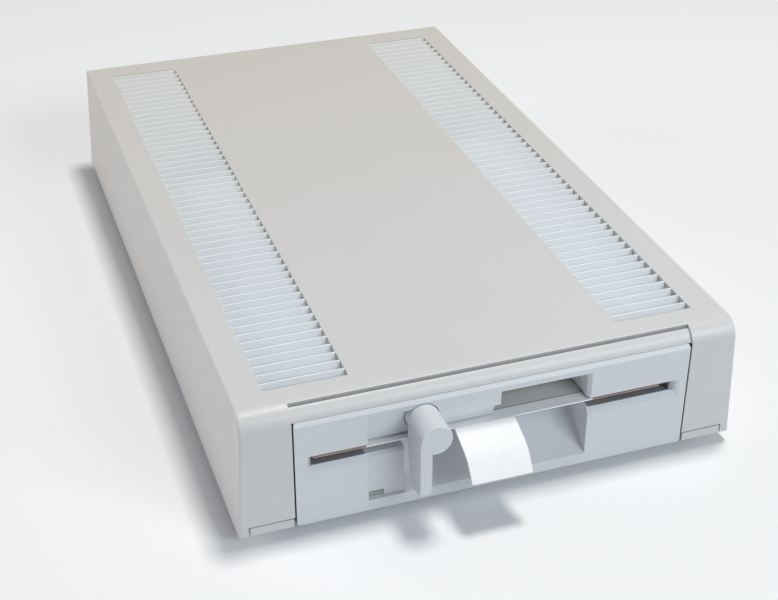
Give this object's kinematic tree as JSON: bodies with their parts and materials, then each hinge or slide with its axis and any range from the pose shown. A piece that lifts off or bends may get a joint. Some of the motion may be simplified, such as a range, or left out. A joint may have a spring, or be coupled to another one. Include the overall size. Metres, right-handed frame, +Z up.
{
  "type": "external floppy disk drive",
  "caption": "Long flat desktop disk drive in a plastic case with louvred top strips, a quarter-turn lever at the front slot and a transport card in it.",
  "frame": {"origin": "on the table, under the middle of the overall length, from the card's bent tab to the jack posts at the back", "axes": "+X to the right seen from the front, +Y from the front to the back, +Z up"},
  "size_m": [0.1892, 0.3294, 0.0535],
  "materials": {
    "case_plastic": "fine matte texture",
    "bezel_plastic": "fine matte texture",
    "foot_rubber": "matte",
    "zinc_screw": "zinc plated",
    "socket_shell": "tin plated",
    "black_plastic": "satin moulded",
    "pin_brass": "bright",
    "lamp_lens": "clear smoked",
    "lamp_red": "clear tinted",
    "bright_steel": "ground",
    "zinc_sheet": "zinc plated sheet",
    "card_white": "smooth card",
    "cast_alloy": "die cast",
    "board_green": "solder mask",
    "copper_wire": "enamelled wire",
    "nylon_white": "moulded nylon",
    "head_ceramic": "polished ceramic",
    "ribbon_grey": "flexible sleeve",
    "lead_red": "flexible sleeve",
    "core_steel": "varnished laminations",
    "winding_tape": "wrapped tape",
    "sink_aluminium": "plain",
    "regulator_black": "moulded"
  },
  "bodies": {
    "case": {"top_cover": "case_plastic", "left_louvres": "case_plastic", "right_louvres": "case_plastic", "base_tray": "case_plastic", "rear_panel": "case_plastic", "bezel": "bezel_plastic", "rubber_feet": "foot_rubber", "case_screws": "zinc_screw", "drive_screws": "zinc_screw", "jack_posts": "zinc_screw", "data_socket": "socket_shell", "mains_inlet": "black_plastic", "switch_body": "black_plastic", "edge_connector": "black_plastic", "left_guide": "black_plastic", "right_guide": "black_plastic", "board_chips": "black_plastic", "supply_capacitors": "black_plastic", "inlet_pins": "pin_brass", "spindle_bearing": "pin_brass", "lamp_lens": "lamp_lens", "lamp": "lamp_red", "carriage_rails": "bright_steel", "arm_pivots": "bright_steel", "shaft_bracket": "zinc_sheet", "drive_lid": "zinc_sheet", "stepper_bracket": "zinc_sheet", "stepper": "zinc_sheet", "transport_card": "card_white", "chassis": "cast_alloy", "motor_board": "board_green", "logic_board": "board_green", "supply_board": "board_green", "motor_coils": "copper_wire", "board_standoffs": "nylon_white", "supply_standoffs": "nylon_white", "power_connector": "nylon_white", "supply_header": "nylon_white", "ribbon_cable": "ribbon_grey", "power_harness": "lead_red", "mains_leads": "lead_red", "transformer_core": "core_steel", "transformer_winding": "winding_tape", "supply_heatsink": "sink_aluminium", "supply_regulator": "regulator_black"},
    "lever": {"lever": "bezel_plastic", "lever_shaft": "bright_steel", "lever_cam": "nylon_white"},
    "clamp": {"clamp_arm": "zinc_sheet", "cone_pin": "bright_steel"},
    "cone": {"clamp_cone": "black_plastic"},
    "spindle": {"spindle_hub": "cast_alloy", "rotor": "zinc_sheet"},
    "carriage": {"carriage": "nylon_white", "lower_head": "head_ceramic", "head_arm_pin": "bright_steel"},
    "head_arm": {"head_arm": "nylon_white", "upper_head": "head_ceramic"},
    "lead": {"lead_screw": "bright_steel"},
    "rocker": {"rocker": "black_plastic"}
  },
  "joints": [
    {"name": "lever_turn", "type": "hinge", "parent": "case", "child": "lever", "pos_m": [-0.0282, -0.1473, 0.0396], "axis": [0, 1, 0], "range_deg": [0, 90]},
    {"name": "clamp_lift", "type": "hinge", "parent": "case", "child": "clamp", "pos_m": [0, 0.0027, 0.0367], "axis": [-1, 0, 0], "range_deg": [0, 0.9313]},
    {"name": "head_lift", "type": "hinge", "parent": "carriage", "child": "head_arm", "pos_m": [-0.001, 0.01035, 0.0355], "axis": [-1, 0, 0], "range_deg": [0, 4.5]},
    {"name": "spindle_spin", "type": "hinge", "parent": "case", "child": "spindle", "pos_m": [-0.001, -0.0808, 0.0285], "axis": [0, 0, 1], "continuous": true},
    {"name": "cone_spin", "type": "hinge", "parent": "clamp", "child": "cone", "pos_m": [-0.001, -0.0808, 0.0335], "axis": [0, 0, 1], "continuous": true},
    {"name": "carriage_slide", "type": "slide", "parent": "case", "child": "carriage", "axis": [0, -1, 0], "range_m": [0, 0.02064]},
    {"name": "lead_turn", "type": "hinge", "parent": "case", "child": "lead", "pos_m": [0.031, -0.0473, 0.028], "axis": [0, 1, 0], "range_deg": [0, 877.26]},
    {"name": "rocker_tilt", "type": "hinge", "parent": "case", "child": "rocker", "pos_m": [0.027, 0.1587, 0.0285], "axis": [-1, 0, 0], "range_deg": [0, 16]}
  ],
  "couplings": [
    {"joint": "clamp_lift", "follows": "lever_turn", "ratio": 0.010347},
    {"joint": "head_lift", "follows": "lever_turn", "ratio": 0.05},
    {"joint": "cone_spin", "follows": "spindle_spin", "ratio": 1},
    {"joint": "lead_turn", "follows": "carriage_slide", "rad_per_m": 741.81}
  ]
}
